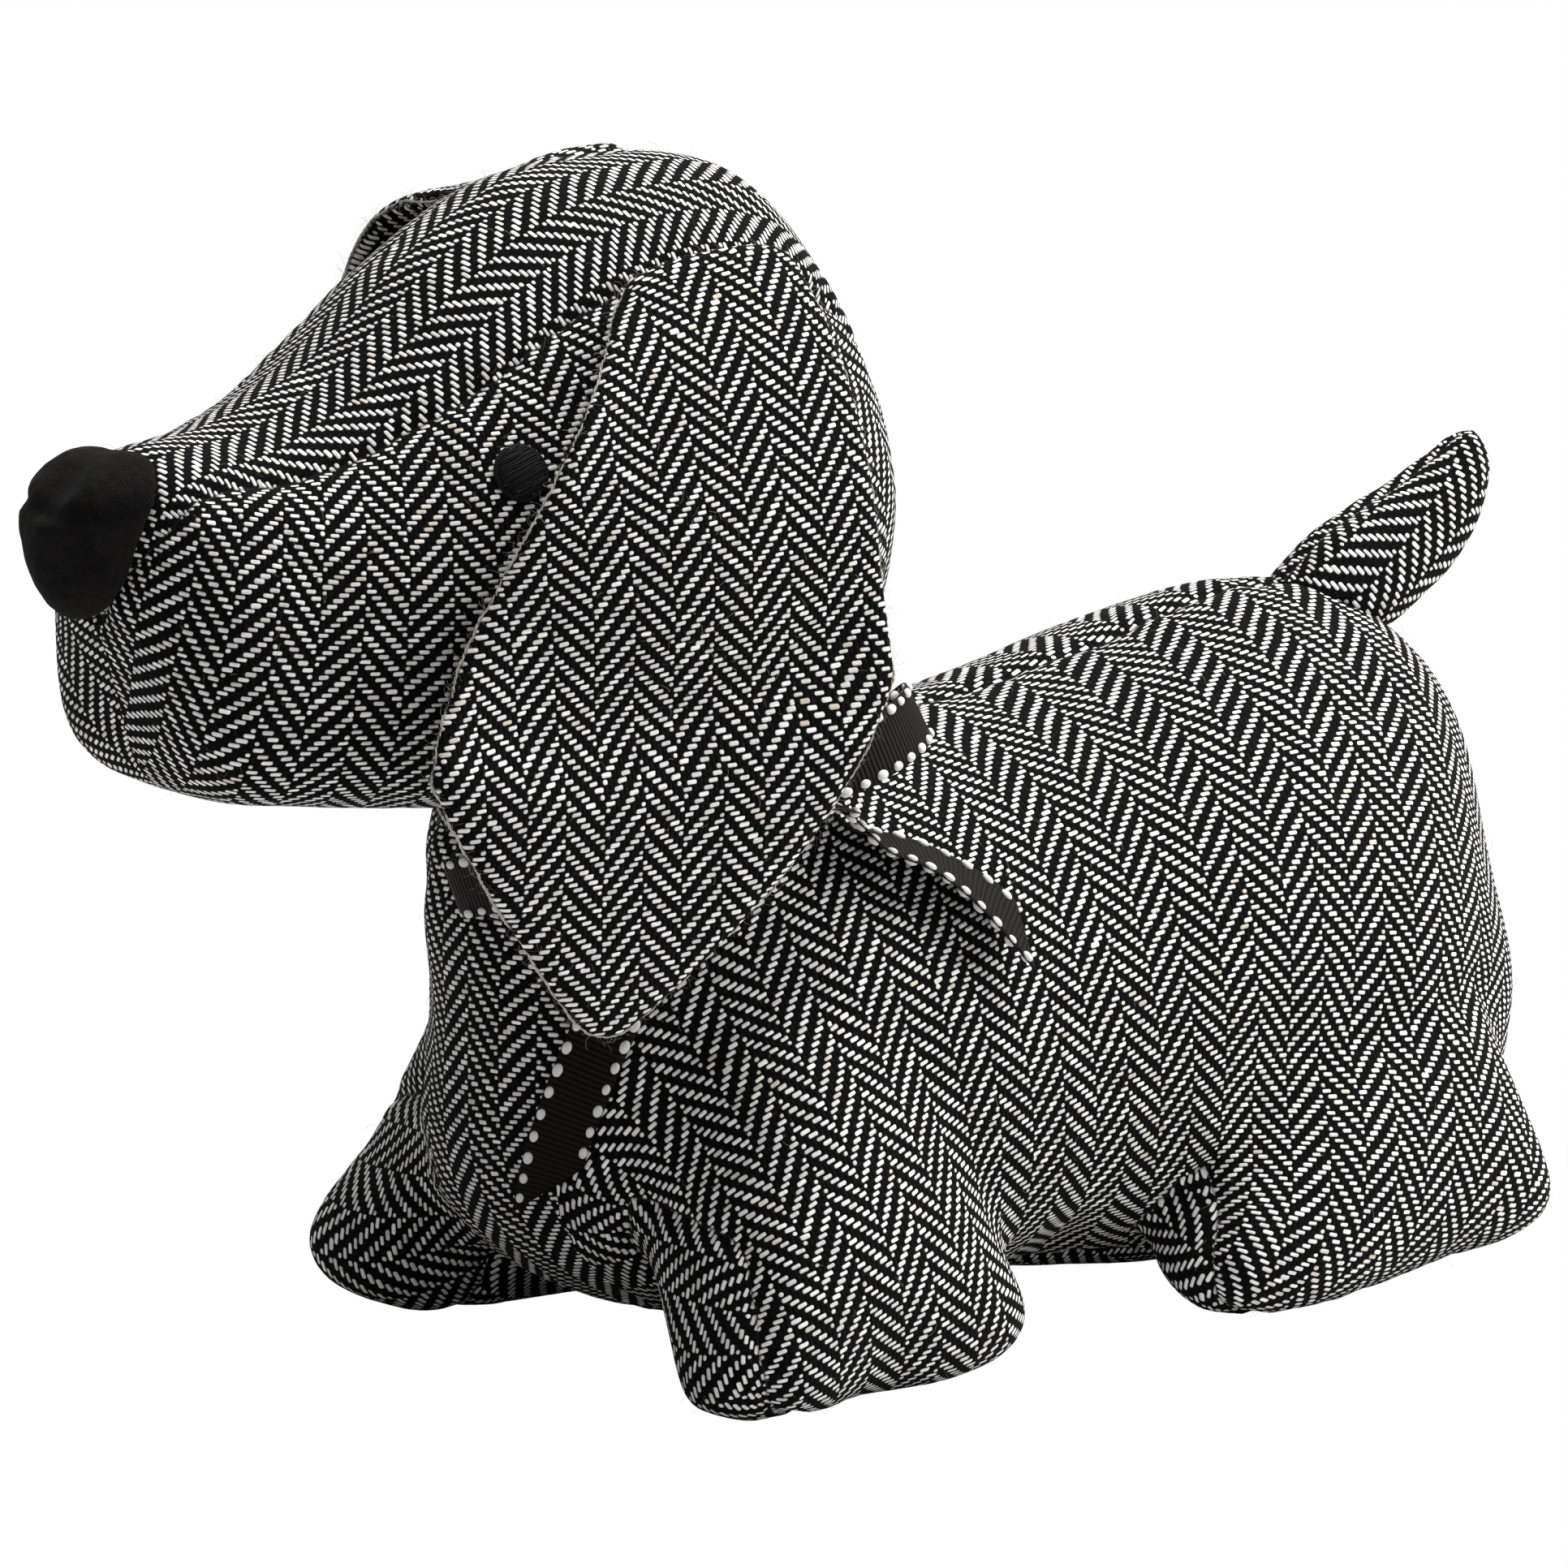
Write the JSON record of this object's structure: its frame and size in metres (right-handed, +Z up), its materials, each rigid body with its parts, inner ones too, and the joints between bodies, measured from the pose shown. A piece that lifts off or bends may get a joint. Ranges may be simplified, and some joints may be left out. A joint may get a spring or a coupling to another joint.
{
  "type": "weighted fabric door stop",
  "caption": "Weighted door stop sewn as a long-bodied stuffed dog with hanging ears and a neck ribbon, which holds a door open by its weight.",
  "frame": {"origin": "on the floor, below the middle of the bounding box", "axes": "+X from the nose to the tail, +Z up, the dog faces -X"},
  "size_m": [0.344, 0.141, 0.2249],
  "materials": {
    "cloth": "black and off-white herringbone wool, slightly fuzzy, matt",
    "suede": "black suede-like cloth with a fine matt nap",
    "eye_thread": "black satin-stitch embroidery with a soft shine along the thread",
    "ribbon": "black grosgrain ribbon, ribbed across, with white saddle stitches along both edges"
  },
  "bodies": {
    "root": {"body": "cloth", "head": "cloth", "ear_left": "cloth", "ear_right": "cloth", "tail": "cloth", "nose": "suede", "eye_left": "eye_thread", "eye_right": "eye_thread", "ribbon": "ribbon"}
  },
  "joints": []
}
